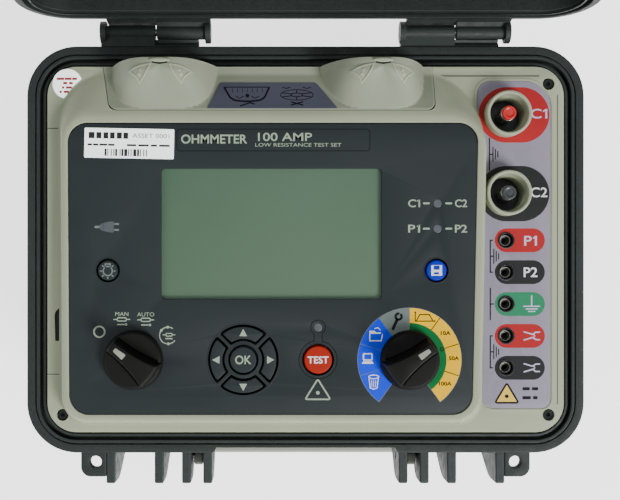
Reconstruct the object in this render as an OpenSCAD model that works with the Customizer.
// Portable low-resistance test set in a hinged hard case.
// Origin: middle of the base's underside. X runs to the right, Y to the hinges, Z up.
// Shapes on the lid are drawn with the lid shut and then swung open.

/* [Case] */
// Width of the case across its sealing flange
case_w = 400; // [396:1:404]
// Depth of the case across its sealing flange
case_d = 292; // [290:1:296]
// Corner radius of the sealing flange
case_r = 36; // [34:1:38]
// Height of the rim, where base and lid meet
rim_z = 140; // [138:1:150]
// Height of the lid above the rim
lid_h = 60; // [58:1:70]
// How far the lid stands open, 0 being shut
lid_open = 97; // [0:1:97]
// How far the latches stand open, 0 being hooked under the flange
latch_open = 105; // [0:1:105]
// How far the carry handle is swung out
handle_out = 0; // [0:1:90]

/* [Panel] */
// Width of the panel plate
plate_w = 370; // [369:0.5:371]
// Depth of the panel plate
plate_d = 262; // [261:0.5:262.5]
// Height of the raised deck above the plate
deck_h = 15; // [14:0.5:18]
// Width of the display opening
view_w = 155; // [140:1:156]
// Depth of the display opening
view_d = 92; // [80:1:94]

/* [Controls] */
// Diameter of the rotary knobs
knob_d = 42; // [38:1:44]
// Direction in which the mode knob points
mode_turn = 141; // [33:36:141]
// Direction in which the range knob points
range_turn = 36; // [-36:36:216]
// Travel of the keys
key_travel = 1; // [0.8:0.1:1.1]
// How far the keys stand proud of the overlay
key_rise = 1.2; // [1.1:0.1:1.6]

/* [Terminals] */
// Place of the terminal column to the right of the middle
column_x = 143.5; // [143:0.5:144]
// Outer diameter of the current terminals
collar_d = 33.4; // [32:0.2:34]
// Diameter of the current terminals' posts
post_d = 10.4; // [9:0.2:11]
// Bore of the measuring sockets
socket_bore = 4; // [3.9:0.1:4.1]
// Distance from one measuring socket to the next
socket_pitch = 22.8; // [20:0.1:23]

/* [Hidden] */
$fn = 64;
facet = 32;
case_colour = [0.21, 0.24, 0.23];
beige = [0.69, 0.69, 0.62];
dark = [0.23, 0.26, 0.26];
black = [0.1, 0.1, 0.1];
steel = [0.72, 0.72, 0.74];
copper = [0.8, 0.5, 0.35];
board_green = [0.1, 0.35, 0.2];
print_grey = [0.7, 0.71, 0.67];

// Case
gap = 0.3;
flange_h = 13.7;
flange_top = rim_z - gap;
flange_z = flange_top - flange_h;
front_y = -case_d / 2;
floor_z = 6;
pad_h = 1.5;
ledge_z = rim_z - 5;
tongue_in = 7.2;
tongue_out = 9.5;
step_w = 1.1;
step_deep = 1.5;
groove_w = 1.8;
groove_deep = 2.7;
lid_top = rim_z + lid_h;
lid_rim_h = 10;
lid_wall = 4;
seal_in = 6.4;
seal_out = 10.3;
seal_top = rim_z + 5;
seal_h = 3;

// Hinges: each base knuckle with its ear lies to the left of the lid's knuckle
hinge_y = case_d / 2 + 10.8;
hinge_z = rim_z - 5;
hinge_x = [-107.8, 107.8];
hinge_len = 79.5;
base_knuckle = 39.4;
lid_knuckle = 39;
knuckle_r = 5.15;
ear_r = 7.9;
ear_w = 4.2;
sill_reach = 5.2;
sill_end = 8.7;
leaf_gap = 6.4;
pin_r = 2.5;
run = 0.05;

// Guard ribs on the front, the same on the left and on the right
rib_w = 6.6;
latch_ribs = [140, 105.3];
handle_ribs = [85.6, 70.3];
rib_reach = 22.4;
latch_x = (latch_ribs[0] + latch_ribs[1]) / 2;
latch_w = 26;
latch_y = front_y - 8;
latch_z = rim_z + 16;
latch_pin_r = 2;
eye_x = 151;
eye_y = front_y - 6.8;
eye_r = 4.25;
lug_h = 8;

// Carry handle
handle_x = 77.95;
arm_w = 6.3;
handle_y = front_y - 6;
handle_z = rim_z - 22;
grip_low = 44;
grip_high = 66;

// Panel
plate_r = case_r - 15;
plate_top = rim_z + 2;
plate_t = 3;
deck_top = plate_top + deck_h;
deck_left = -172.6;
deck_right = 124.5;
deck_front = -121.8;
deck_back = 96;
deck_draft = 3;
slope_back = 127;
lip_w = 5.5;
face = deck_top - 1;
overlay_t = 0.4;
skin_top = face - overlay_t;
skin_t = 2.6;
skin_low = skin_top - skin_t;
overlay_w = 285.2;
overlay_d = 204.1;
overlay_x = -24.5;
overlay_y = -14.5;
overlay_r = 14;
view_x = -24.5;
view_y = 10.6;
window_lap = 4;
window_t = 1.6;
screw_x = 174;
screw_y = 118.5;
screw_r = 2;
boss_r = 6;
recess_r = 4.3;

port_x = -179;
port_w = 2.8;
port_y = -66.4;
port_d = 23;
port_deep = 2;

// Rear cover and its domes
cover_left = -145.5;
cover_right = 90.8;
cover_front = 97.8;
cover_back = 130.4;
cover_low = plate_top - 2.8;
ledge_top = plate_top + 1.6;
cover_sheet = 2.5;
dome_x = [-100.3, 47.3];
dome_half = 37;
dome_top_half = 18.5;
dome_z = rim_z + 39;
dome_foot = deck_top - 2.5;
slope_y = 125.5;

// Controls
row_y = -78;
mode_x = -121.3;
range_x = 72.6;
nav_x = -44.3;
ok_r = 9.2;
nav_in = 14.8;
nav_out = 23.3;
nav_web = 2.7;
key_gap = 1.2;
test_x = 8.3;
test_r = 9.7;
save_x = 91.5;
save_r = 7;
light_x = -139.4;
light_r = 6.9;
small_y = -15.2;
lamp_r = 3.2;
lamps = [[92.3, 32], [92.3, 14.2], [test_x, -55.2]];
key_low = skin_low - 2.8;
key_lip = 0.8;
key_lip_h = 1.5;
mat_top = key_low - key_travel - 0.4;
mat_t = 1.6;
board_top = skin_low - 7.4;
board_t = 1.6;
shaft_r = 3;
knob_low = face + 0.5;
skirt_h = 7.5;
grip_top = knob_low + 21.5;

// Terminals
c_y = [96.2, 39.9];
socket_y = [for (i = [0:4]) 6.5 - i * socket_pitch];
label_left = 127.8;
label_right = 175.3;
label_front = -113.7;
label_back = 120.4;
label_t = 0.5;
label_r = 7;
label_corner_r = 19;
collar_top = plate_top + 12;
well_low = plate_top - 13;
collar_low = well_low - 6;
well_r = 12;
mouth_r = 13.75;
neck_r = 15;
post_low = 100;
shank_r = 3;
cap_h = 4;
socket_r = 5.9;
barrel_r = 5.2;
contact_r = 2.9;
seat_w = 25;
contact_top = plate_top - 3.5;
contact_low = contact_top - 24.5;
module_top = 75;

// ---- shapes used again and again ----

module rounded(w, d, r) {
    square([w - 2 * r, d], center = true);
    square([w, d - 2 * r], center = true);
    for (x = [-1, 1], y = [-1, 1])
        translate([x * (w / 2 - r), y * (d / 2 - r)]) circle(r);
}

module slab(w, d, r, z, h) {
    translate([0, 0, z]) linear_extrude(h) rounded(w, d, r);
}

// A rounded frame that lies between two insets from the sealing flange's edge
module rim_band(near, far, z, h) {
    difference() {
        slab(case_w - 2 * near, case_d - 2 * near, case_r - near, z, h);
        slab(case_w - 2 * far, case_d - 2 * far, case_r - far, z - 1, h + 2);
    }
}

module thin(w, d, r, z) {
    translate([0, 0, z]) linear_extrude(0.01) rounded(w, d, r, $fn = facet);
}

// An outline in Y and Z, extruded along X about x
module side_prism(x, w, points) {
    translate([x, 0, 0]) rotate([90, 0, 90])
        linear_extrude(w, center = true) polygon(points);
}

module x_rod(x, y, z, r, len) {
    translate([x, y, z]) rotate([0, 90, 0]) cylinder(r = r, h = len, center = true);
}

module spot(x, y, z, r, h) {
    translate([x, y, z]) cylinder(r = r, h = h);
}

module block(x0, x1, y0, y1, z0, z1) {
    translate([x0, y0, z0]) cube([x1 - x0, y1 - y0, z1 - z0]);
}

module swung_lid() {
    translate([0, hinge_y, hinge_z]) rotate([-lid_open, 0, 0])
        translate([0, -hinge_y, -hinge_z]) children();
}

// ---- base of the case ----

module base_body() {
    hull() {
        thin(case_w - 20, case_d - 20, case_r - 10, flange_z + 2);
        thin(case_w - 34, case_d - 34, case_r - 14, 12);
        thin(case_w - 50, case_d - 50, case_r - 20, pad_h);
    }
}

module base_hollow() {
    hull() {
        thin(case_w - 28, case_d - 28, case_r - 14, rim_z + 2);
        thin(case_w - 42, case_d - 42, case_r - 18, 14);
        thin(case_w - 54, case_d - 54, case_r - 22, floor_z);
    }
}

module guard_rib(x, low) {
    side_prism(x, rib_w, [
        [front_y + 18, flange_top - 1.5], [front_y - rib_reach, flange_top - 1.5],
        [front_y - rib_reach, flange_z - 14], [front_y + 9, low], [front_y + 18, low]
    ]);
}

module base_knuckle(x) {
    left = x - hinge_len / 2;
    x_rod(left + base_knuckle / 2, hinge_y, hinge_z, knuckle_r, base_knuckle);
    x_rod(left + ear_w / 2, hinge_y, hinge_z, ear_r, ear_w);
    block(left, left + base_knuckle, case_d / 2 - 2, hinge_y, flange_z + 4, hinge_z + 3.5);
    block(left + base_knuckle - 1, left + hinge_len - sill_end, case_d / 2 - 2,
        case_d / 2 + sill_reach, flange_z + 4, hinge_z + 3.5);
}

module base_case() {
    color(case_colour) {
        difference() {
            union() {
                slab(case_w, case_d, case_r, flange_z, flange_h);
                base_body();
                slab(250, 150, 12, 0, pad_h + 1);
                for (x = [-1, 1], y = [-1, 1]) spot(150 * x, 95 * y, 0, 14, pad_h + 1);
                rim_band(tongue_in, tongue_out, flange_top - 1, 2.6);
                for (s = [-1, 1]) {
                    for (x = latch_ribs) guard_rib(s * x, 45);
                    for (x = handle_ribs) guard_rib(s * x, 78);
                }
                for (x = hinge_x) base_knuckle(x);
            }
            base_hollow();
            rim_band(tongue_in - step_w, tongue_in, flange_top - step_deep, 3);
            rim_band(tongue_out, tongue_out + groove_w, flange_top - groove_deep, 4);
            block(-handle_ribs[1] + rib_w / 2, handle_ribs[1] - rib_w / 2, front_y - 1,
                front_y + 3.8, flange_z - 1, rim_z + 1);
            for (x = hinge_x) x_rod(x, hinge_y, hinge_z, pin_r, hinge_len + 2);
            for (s = [-1, 1]) x_rod(s * handle_x, handle_y, handle_z, pin_r, 24);
        }
        panel_ledge();
    }
}

module panel_ledge() {
    difference() {
        union() {
            rim_band(13.2, 22, ledge_z - 8, 8);
            for (x = [-1, 1], y = [-1, 1])
                spot(x * screw_x, y * screw_y, ledge_z - 30, boss_r, 30);
        }
        for (x = [-1, 1], y = [-1, 1])
            spot(x * screw_x, y * screw_y, ledge_z - 20, screw_r, 21);
    }
}

module padlock_lug(side) {
    inner = latch_ribs[0] + rib_w / 2;
    corner = 7;
    outer = eye_x + 10.6;
    reach = front_y - 17.5;
    color(case_colour) difference() {
        union() {
            block(side > 0 ? inner : -outer + corner, side > 0 ? outer - corner : -inner,
                reach, front_y, flange_z + 4, flange_z + 4 + lug_h);
            block(side > 0 ? inner : -outer, side > 0 ? outer : -inner,
                reach + corner, front_y, flange_z + 4, flange_z + 4 + lug_h);
            spot(side * (outer - corner), reach + corner, flange_z + 4, corner, lug_h);
        }
        spot(side * eye_x, eye_y, flange_z, eye_r, flange_h + 2);
    }
}

module hinge_pins() {
    color(steel) for (x = hinge_x)
        x_rod(x - 0.4, hinge_y, hinge_z, pin_r, hinge_len - 1.5);
}

module handle_pins() {
    color(steel) for (s = [-1, 1])
        x_rod(s * handle_x, handle_y, handle_z, pin_r, 21.9);
}

// ---- lid, drawn shut ----

module lid_knuckle(x) {
    right = x + hinge_len / 2;
    x_rod(right - lid_knuckle / 2, hinge_y, hinge_z, knuckle_r, lid_knuckle);
    x_rod(right - ear_w / 2, hinge_y, hinge_z, ear_r, ear_w);
    leaf_w = hinge_len - lid_knuckle - ear_w - 0.6;
    side_prism(right - lid_knuckle - leaf_w / 2 + 0.5, leaf_w + 1, [
        [case_d / 2 - 1, rim_z + 2], [case_d / 2 - 1, rim_z + 9.5],
        [hinge_y - 7, rim_z + 9.5], [hinge_y + 3.4, hinge_z + leaf_gap + 2.2],
        [hinge_y + 3.4, hinge_z + leaf_gap], [case_d / 2 + 2, hinge_z + leaf_gap]
    ]);
    side_prism(right - lid_knuckle / 2, lid_knuckle, [
        [case_d / 2 - 1, rim_z + 1], [case_d / 2 - 1, rim_z + 9.5],
        [hinge_y - 7, rim_z + 9.5], [hinge_y + 4, hinge_z + 3], [hinge_y, hinge_z],
        [hinge_y - 4, hinge_z + 3], [hinge_y - 6, rim_z + 1]
    ]);
}

module lid_rib(x) {
    side_prism(x, rib_w, [
        [front_y + 8, rim_z + 1], [front_y - 14, rim_z + 1], [front_y - 14, latch_z + 8],
        [front_y - 4, latch_z + 18], [front_y + 8, latch_z + 20]
    ]);
}

module lid_shell() {
    color(case_colour) swung_lid() difference() {
        union() {
            slab(case_w, case_d, case_r, rim_z, lid_rim_h);
            hull() {
                thin(case_w - 12, case_d - 12, case_r - 6, rim_z + lid_rim_h - 1);
                thin(case_w - 18, case_d - 18, case_r - 9, lid_top - 8);
                thin(case_w - 32, case_d - 32, case_r - 16, lid_top - 0.01);
            }
            for (s = [-1, 1]) {
                for (x = latch_ribs) lid_rib(s * x);
                block(s > 0 ? latch_ribs[0] : -eye_x - 10, s > 0 ? eye_x + 10 : -latch_ribs[0],
                    front_y - 17, front_y + 1, rim_z + 1, rim_z + 8);
            }
            for (x = hinge_x) lid_knuckle(x);
        }
        hull() {
            thin(case_w - 24, case_d - 23, case_r - 12, rim_z - 1);
            thin(case_w - 24, case_d - 23.6, case_r - 12, lid_top - 22);
            thin(case_w - 34, case_d - 34, case_r - 16, lid_top - lid_wall);
        }
        rim_band(seal_in - 0.1, seal_out + 0.1, rim_z - 1, seal_top - rim_z + 1);
        for (x = hinge_x) x_rod(x, hinge_y, hinge_z, pin_r + run, hinge_len + 4);
        for (s = [-1, 1]) {
            x_rod(s * latch_x, latch_y, latch_z, latch_pin_r, 60);
            spot(s * eye_x, eye_y, rim_z, eye_r, 12);
        }
    }
}

module lid_seal() {
    color(black) swung_lid() rim_band(seal_in, seal_out, seal_top - seal_h, seal_h);
}

module latch_pins() {
    color(steel) swung_lid() for (s = [-1, 1])
        x_rod(s * latch_x, latch_y, latch_z, latch_pin_r, 40);
}

module latch(side) {
    low = flange_z;
    color(case_colour) swung_lid() translate([0, latch_y, latch_z])
        rotate([-latch_open, 0, 0]) translate([0, -latch_y, -latch_z]) difference() {
            union() {
                side_prism(side * latch_x, latch_w, [
                    [latch_y - 9, latch_z + 3], [latch_y - 3, latch_z + 5], [latch_y, latch_z],
                    [latch_y - 4, latch_z - 6], [latch_y - 4, low - 0.6],
                    [front_y + 3.2, low - 0.6], [front_y + 3.2, low - 4.5],
                    [front_y - 1, low - 7.5], [latch_y - 4, low - 10], [latch_y - 10, low - 21],
                    [latch_y - 13, low - 20], [latch_y - 9, low - 9]
                ]);
                x_rod(side * latch_x, latch_y, latch_z, 5.5, latch_w);
            }
            x_rod(side * latch_x, latch_y, latch_z, latch_pin_r + run, latch_w + 2);
        }
}

// ---- carry handle ----

module carry_handle() {
    color([0.71, 0.71, 0.67]) translate([0, handle_y, handle_z]) rotate([-handle_out, 0, 0])
        translate([0, -handle_y, -handle_z]) difference() {
            union() {
                for (s = [-1, 1]) {
                    x_rod(s * handle_x, handle_y, handle_z, 6, arm_w);
                    side_prism(s * handle_x, arm_w, [
                        [handle_y - 4.5, handle_z], [handle_y + 4.5, handle_z],
                        [handle_y + 4.5, grip_low + 6], [handle_y - 4.5, grip_low + 6]
                    ]);
                }
                side_prism(0, 2 * handle_x + arm_w, [
                    [handle_y + 5, grip_low + 3], [handle_y + 5, grip_high - 3],
                    [handle_y + 2, grip_high], [handle_y - 3, grip_high],
                    [handle_y - 6, grip_high - 3], [handle_y - 6, grip_low + 3],
                    [handle_y - 3, grip_low], [handle_y + 2, grip_low]
                ]);
            }
            for (s = [-1, 1])
                x_rod(s * handle_x, handle_y, handle_z, pin_r + run, arm_w + 2);
        }
}

// ---- panel ----

// A rounded outline whose two rear corners have their own radius
module deck_outline(grow, back, back_r, z) {
    corners = [
        [deck_left - grow + 18, deck_front - grow + 18, 18],
        [deck_right + grow - 18, deck_front - grow + 18, 18],
        [deck_left - grow + back_r, back - back_r, back_r],
        [deck_right + grow - back_r, back - back_r, back_r]
    ];
    for (c = corners)
        translate([c[0], c[1], z]) cylinder(r = c[2], h = 0.01, $fn = facet);
}

module deck() {
    difference() {
        hull() {
            deck_outline(0, deck_back, 20, deck_top - 0.01);
            deck_outline(deck_draft, slope_back, 38, plate_top);
        }
        hull() {
            deck_outline(-3, deck_back + 1, 20, skin_low);
            deck_outline(0, slope_back - 3, 36, plate_top - 4);
        }
    }
}

module panel_blank() {
    slab(plate_w, plate_d, plate_r, plate_top - plate_t, plate_t);
    rim_band(15, 18, ledge_z + 1, 4);
    for (x = [-1, 1], y = [-1, 1])
        spot(x * screw_x, y * screw_y, ledge_z, boss_r, plate_top - ledge_z - 1);
}

module overlay_shape(grow) {
    translate([overlay_x, overlay_y]) rounded(overlay_w + 2 * grow, overlay_d + 2 * grow,
        overlay_r + grow);
}

module view_shape(grow) {
    translate([view_x, view_y]) rounded(view_w + 2 * grow, view_d + 2 * grow, 3);
}

// One quarter of the ring of arrow keys, grown all round
module nav_sector(grow, turn) {
    off = (nav_web - grow) * sqrt(2);
    far = nav_out + 5;
    translate([nav_x, row_y]) rotate(turn) intersection() {
        difference() {
            circle(nav_out + grow);
            circle(nav_in - grow);
        }
        polygon([[off, 0], [far + off, far], [far + off, -far]]);
    }
}

module key_openings(grow) {
    translate([nav_x, row_y]) circle(ok_r + grow);
    for (i = [0:3]) nav_sector(grow, i * 90);
    translate([test_x, row_y]) circle(test_r + grow);
    translate([save_x, small_y]) circle(save_r + grow);
    translate([light_x, small_y]) circle(light_r + grow);
}

module shaft_openings() {
    for (x = [mode_x, range_x]) translate([x, row_y]) circle(shaft_r + 0.4);
    for (p = lamps) translate(p) circle(lamp_r);
}

// What the rear cover takes out of the panel and its deck
module cover_gap() {
    block(cover_left - 0.2, cover_right + 0.2, cover_front - 0.2, plate_d / 2 + 1,
        ledge_z, deck_top + 1);
}

module panel_deck() {
    color(beige) difference() {
        deck();
        translate([0, 0, skin_top]) linear_extrude(3) overlay_shape(0);
        translate([0, 0, skin_low - 1]) linear_extrude(6) {
            view_shape(-1);
            key_openings(key_gap);
            shaft_openings();
        }
        translate([0, 0, skin_top - window_t]) linear_extrude(3) view_shape(window_lap);
        cover_gap();
        for (y = c_y) spot(column_x, y, plate_top - 1, collar_d / 2, collar_top - plate_top + 1);
    }
}

module panel_moulding() {
    color(beige) difference() {
        panel_blank();
        hull() {
            deck_outline(0, slope_back - 3, 36, plate_top - 8);
            deck_outline(0, slope_back - 3, 36, plate_top + 1);
        }
        cover_gap();
        for (y = c_y) spot(column_x, y, ledge_z, neck_r, 10);
        block(column_x - seat_w / 2, column_x + seat_w / 2,
            socket_y[4] - socket_pitch / 2, socket_y[0] + socket_pitch / 2, ledge_z, plate_top + 1);
        for (x = [-1, 1], y = [-1, 1]) {
            spot(x * screw_x, y * screw_y, ledge_z + 2, recess_r, 10);
            spot(x * screw_x, y * screw_y, ledge_z - 1, screw_r + 0.2, 10);
        }
        port_block(plate_top - port_deep, plate_top + 1);
    }
}

module panel_gasket() {
    color(black) difference() {
        rim_band(15, 20, ledge_z, 1);
        for (x = [-1, 1], y = [-1, 1])
            spot(x * screw_x, y * screw_y, ledge_z - 1, boss_r + 0.2, 3);
    }
}

module panel_screws() {
    color(black) for (x = [-1, 1], y = [-1, 1]) translate([x * screw_x, y * screw_y, 0])
        difference() {
            union() {
                translate([0, 0, ledge_z + 2]) cylinder(r = 3.6, h = 3.4);
                translate([0, 0, ledge_z - 18]) cylinder(r = screw_r, h = 21);
            }
            translate([0, 0, ledge_z + 3.4]) cylinder(r = 1.7, h = 3, $fn = 6);
        }
}

// Half of a rounded square outline, flat at the back
function dome_outline(half, deep) = [for (a = [0:7.5:180])
    [sign(cos(a)) * half * pow(abs(cos(a)), 2 / 3), -deep * pow(sin(a), 2 / 3)]];

module dome(shrink) {
    half = dome_half - shrink;
    deep = cover_back - cover_front - 0.6 - 1.5 * shrink;
    hull() {
        translate([0, cover_back - shrink / 2, cover_low - 1])
            linear_extrude(dome_foot - shrink - cover_low + 1)
                polygon(dome_outline(half, deep));
        block(-dome_top_half + shrink, dome_top_half - shrink, cover_back - 6,
            cover_back + 0.8 - shrink, dome_z - 1 - shrink, dome_z - shrink);
    }
}

function slope_points(drop) = [
    [cover_front + drop, cover_low], [cover_front + drop, deck_top - 0.1 - drop],
    [slope_y - drop / 2, ledge_top - drop], [cover_back - drop, ledge_top - drop],
    [cover_back - drop, cover_low]
];

module rear_cover() {
    mid = (cover_left + cover_right) / 2;
    wide = cover_right - cover_left;
    color(beige) difference() {
        union() {
            side_prism(mid, wide, slope_points(0));
            for (x = dome_x) translate([x, 0, 0]) intersection() {
                dome(0);
                block(-50, 50, 90, 140, cover_low, dome_z + 1);
            }
        }
        translate([0, 0, -0.01]) side_prism(mid, wide - 2 * cover_sheet,
            slope_points(cover_sheet));
        for (x = dome_x) translate([x, 0, 0]) dome(cover_sheet);
    }
}

module icon_label() {
    run_y = slope_y - cover_front;
    fall = deck_top - 0.1 - ledge_top;
    low_y = 99.2;
    high_y = 118.6;
    low = deck_top - 0.1 - (low_y - cover_front) * fall / run_y;
    high = deck_top - 0.1 - (high_y - cover_front) * fall / run_y;
    color([0.3, 0.32, 0.36]) intersection() {
        side_prism(-25, 110, [[low_y, low], [high_y, high], [high_y, high + 0.4],
            [low_y, low + 0.4]]);
        translate([0, 0, plate_top]) linear_extrude(20)
            polygon([[-61, high_y + 1], [7, high_y + 1], [20.5, low_y - 1], [-70, low_y - 1]]);
    }
}

module front_overlay() {
    color(dark) translate([0, 0, skin_top]) linear_extrude(overlay_t) difference() {
        overlay_shape(-0.2);
        view_shape(0);
        key_openings(key_gap);
        shaft_openings();
    }
}

module terminal_label() {
    mid = [(label_left + label_right) / 2, (label_front + label_back) / 2];
    color([0.63, 0.63, 0.69]) translate([0, 0, plate_top]) linear_extrude(label_t)
        difference() {
            union() {
                difference() {
                    translate(mid) rounded(label_right - label_left, label_back - label_front,
                        label_r);
                    translate([label_right - label_corner_r, label_back - label_corner_r])
                        square(label_corner_r + 1);
                }
                translate([label_right - label_corner_r, label_back - label_corner_r])
                    circle(label_corner_r);
            }
            for (y = c_y) translate([column_x, y]) circle(collar_d / 2);
            for (y = socket_y) translate([column_x, y]) circle(barrel_r);
        }
}

module stickers() {
    slope_x = deck_left - deck_draft + 38;
    color("white") {
        difference() {
            intersection() {
                spot(-170.5, 118.5, plate_top, 11, 0.2);
                slab(plate_w - 2, plate_d - 2, plate_r - 1, plate_top - 1, 3);
            }
            spot(slope_x, slope_back - 38, plate_top - 1, 38.6, 3);
        }
        block(-156, -93, 63.6, 84.6, face, face + 0.15);
    }
}

module port_block(low, high) {
    block(port_x, port_x + port_w, port_y, port_y + port_d, low, high);
}

module side_port() {
    color(black) port_block(plate_top - port_deep, plate_top - port_deep + 0.8);
}

// ---- display, lamps and what lies under the keys ----

module display_window() {
    color([0.75, 0.85, 0.8, 0.35]) translate([0, 0, skin_top - window_t])
        linear_extrude(window_t) view_shape(window_lap - 0.2);
}

module display_module() {
    color([0.42, 0.53, 0.47]) translate([0, 0, board_top]) linear_extrude(skin_low - board_top)
        view_shape(5);
}

module indicator_lenses() {
    color([0.45, 0.47, 0.5]) for (p = lamps)
        spot(p[0], p[1], board_top, lamp_r, face - board_top);
}

module keypad_mat() {
    color(black) {
        difference() {
            block(-72, 24, -106, -50, mat_top - mat_t, mat_top);
            spot(test_x, lamps[2][1], mat_top - mat_t - 1, lamp_r + 0.4, mat_t + 2);
        }
        for (x = [save_x, light_x]) spot(x, small_y, mat_top - mat_t, 10, mat_t);
    }
}

module key_switches() {
    switch_h = mat_top - mat_t - board_top;
    around = [for (a = [0, 90, 180, 270])
        [nav_x + 19 * cos(a), row_y + 19 * sin(a)]];
    color(steel)
        for (p = concat(around, [[nav_x, row_y], [test_x, row_y], [save_x, small_y],
            [light_x, small_y]]))
            block(p[0] - 3, p[0] + 3, p[1] - 3, p[1] + 3, board_top, board_top + switch_h);
}

module control_board() {
    color(board_green) block(-160, 112, -112, 84, board_top - board_t, board_top);
}

module rotary_switch(x) {
    color([0.2, 0.25, 0.4]) difference() {
        spot(x, row_y, board_top, 14, skin_low - board_top);
        spot(x, row_y, board_top + 1.4, shaft_r + run, 20);
    }
}

module power_board() {
    color(board_green) block(-160, 0, -100, 110, 96, 98);
}

module board_pillars() {
    color(steel) for (x = [-154, -6], y = [-94, 104]) spot(x, y, floor_z, 4, 96 - floor_z);
}

module power_module() {
    color([0.25, 0.25, 0.27]) block(10, 125, -5, 115, floor_z, module_top);
}

module battery_pack() {
    color([0.15, 0.25, 0.45]) block(-148, -12, -88, 30, floor_z, 70);
}

module busbars() {
    color(copper) for (y = c_y) translate([0, y, 0]) rotate([90, 0, 0])
        linear_extrude(18, center = true) polygon([
            [column_x + 9, post_low], [96, post_low], [96, module_top + 4],
            [60, module_top + 4], [60, module_top], [100, module_top], [100, post_low - 4],
            [column_x + 9, post_low - 4]
        ]);
}

// ---- terminals ----

module collar(y) {
    color(beige) translate([column_x, y, 0]) rotate_extrude() polygon([
        [well_r, collar_low], [neck_r, collar_low], [neck_r, plate_top],
        [collar_d / 2, plate_top], [collar_d / 2, collar_top - 1],
        [collar_d / 2 - 1, collar_top], [mouth_r, collar_top], [well_r, well_low]
    ]);
}

module terminal_insulators() {
    color(black) for (y = c_y) difference() {
        spot(column_x, y, collar_low, well_r, well_low - collar_low);
        spot(column_x, y, collar_low - 1, shank_r, 10);
    }
}

module current_post(y) {
    color(steel) {
        spot(column_x, y, well_low, post_d / 2, collar_top - cap_h - well_low);
        spot(column_x, y, post_low, shank_r, well_low - post_low);
    }
}

module post_caps() {
    for (i = [0, 1]) color(i == 0 ? [0.75, 0.2, 0.18] : black)
        spot(column_x, c_y[i], collar_top - cap_h, post_d / 2 - 0.2, cap_h);
}

// A socket with the square seat that fills its share of the panel's window
module measuring_socket(i) {
    lip = plate_top + label_t;
    color(black) translate([column_x, socket_y[i], 0]) {
        rotate_extrude() polygon([
            [contact_r, contact_low - 2], [barrel_r, contact_low - 2], [barrel_r, lip],
            [socket_r, lip], [socket_r, lip + 0.8], [barrel_r - 0.5, lip + 0.8],
            [barrel_r - 0.5, contact_low + 10], [contact_r + 0.5, contact_low + 10],
            [contact_r + 0.5, lip - 0.7], [contact_r, lip - 0.7]
        ]);
        translate([0, 0, plate_top - plate_t]) linear_extrude(plate_t) difference() {
            square([seat_w - gap, socket_pitch - gap], center = true);
            circle(barrel_r - 0.1);
        }
    }
}

module socket_contacts() {
    color(steel) for (y = socket_y) difference() {
        spot(column_x, y, contact_low - 4, contact_r, contact_top - contact_low + 4);
        spot(column_x, y, contact_low, socket_bore / 2, contact_top - contact_low + 1);
    }
}

// ---- knobs ----

// A flat tapering outline, narrow at the pointer's end
module wedge(nose, nose_half, tail, tail_half, z) {
    nose_r = 2.5;
    tail_r = 3.6;
    translate([0, 0, z]) linear_extrude(1) for (side = [-1, 1]) {
        translate([nose, side * nose_half]) circle(nose_r, $fn = facet);
        translate([tail, side * tail_half]) circle(tail_r, $fn = facet);
    }
}

module knob(x, turn) {
    r = knob_d / 2;
    skirt = knob_low + skirt_h;
    color(black) translate([x, row_y, 0]) rotate(turn) difference() {
        union() {
            rotate_extrude() polygon([
                [0, knob_low], [r - 0.6, knob_low], [r, knob_low + 0.8],
                [r - 0.6, skirt - 1.5], [r - 2, skirt], [0, skirt]
            ]);
            hull() {
                wedge(r - 5, 2.6, -r + 7, 8.5, skirt - 1);
                wedge(r - 6.5, 1.9, -r + 6.5, 5.6, grip_top - 1);
            }
        }
        translate([0, 0, knob_low - 1]) cylinder(r = shaft_r, h = 13);
    }
}

module pointer(x, turn) {
    color(print_grey) translate([x, row_y, grip_top]) rotate(turn) linear_extrude(0.4)
        polygon([[5.2, -2.2], [13.7, -1.5], [13.7, 1.5], [5.2, 2.2]]);
}

module knob_shaft(x) {
    color(steel) spot(x, row_y, board_top + 2, shaft_r, knob_low + 12 - board_top - 2);
}

// ---- keys ----

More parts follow.
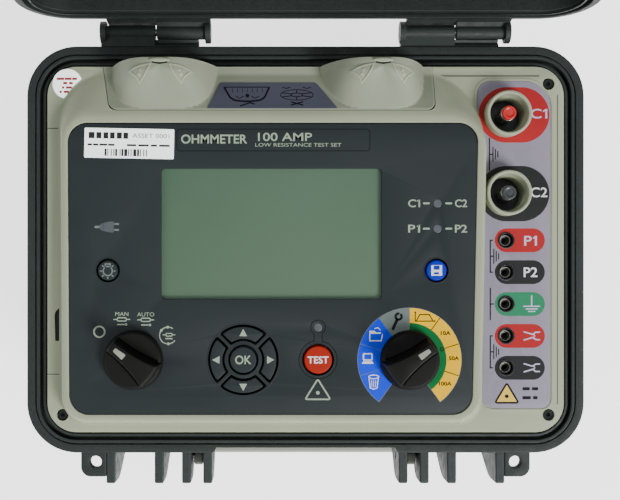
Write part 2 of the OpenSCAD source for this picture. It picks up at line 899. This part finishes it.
module round_key(x, y, r, tint) {
    color(tint) {
        spot(x, y, key_low, r, face + key_rise - key_low);
        difference() {
            spot(x, y, key_low, r + key_lip, key_lip_h);
            spot(x, y, key_low - 1, r - 0.5, key_lip_h + 2);
        }
    }
}

module nav_key(turn) {
    color(dark) {
        translate([0, 0, key_low]) linear_extrude(face + key_rise - key_low)
            nav_sector(0, turn);
        translate([0, 0, key_low]) linear_extrude(key_lip_h) nav_sector(key_lip, turn);
    }
}

base_case();
padlock_lug(-1);  // padlock_lug_left
padlock_lug(1);  // padlock_lug_right
hinge_pins();
handle_pins();
panel_moulding();
panel_deck();
panel_gasket();
panel_screws();
rear_cover();
icon_label();
front_overlay();
terminal_label();
stickers();
side_port();
display_window();
display_module();
indicator_lenses();
keypad_mat();
key_switches();
control_board();
rotary_switch(mode_x);  // mode_switch
rotary_switch(range_x);  // range_switch
power_board();
board_pillars();
power_module();
battery_pack();
busbars();
collar(c_y[0]);  // c1_collar
collar(c_y[1]);  // c2_collar
terminal_insulators();
current_post(c_y[0]);  // c1_post
current_post(c_y[1]);  // c2_post
post_caps();
measuring_socket(0);  // p1_socket
measuring_socket(1);  // p2_socket
measuring_socket(2);  // earth_socket
measuring_socket(3);  // red_clamp_socket
measuring_socket(4);  // black_clamp_socket
socket_contacts();
lid_shell();
lid_seal();
latch_pins();
latch(-1);  // latch_left
latch(1);  // latch_right
carry_handle();
knob(mode_x, mode_turn);  // mode_knob
pointer(mode_x, mode_turn);  // mode_pointer
knob_shaft(mode_x);  // mode_shaft
knob(range_x, range_turn);  // range_knob
pointer(range_x, range_turn);  // range_pointer
knob_shaft(range_x);  // range_shaft
round_key(nav_x, row_y, ok_r, dark);  // key_ok
nav_key(90);  // key_up
nav_key(270);  // key_down
nav_key(180);  // key_left
nav_key(0);  // key_right
round_key(test_x, row_y, test_r, [0.8, 0.25, 0.16]);  // key_test
round_key(save_x, small_y, save_r, [0.12, 0.35, 0.75]);  // key_save
round_key(light_x, small_y, light_r, dark);  // key_backlight
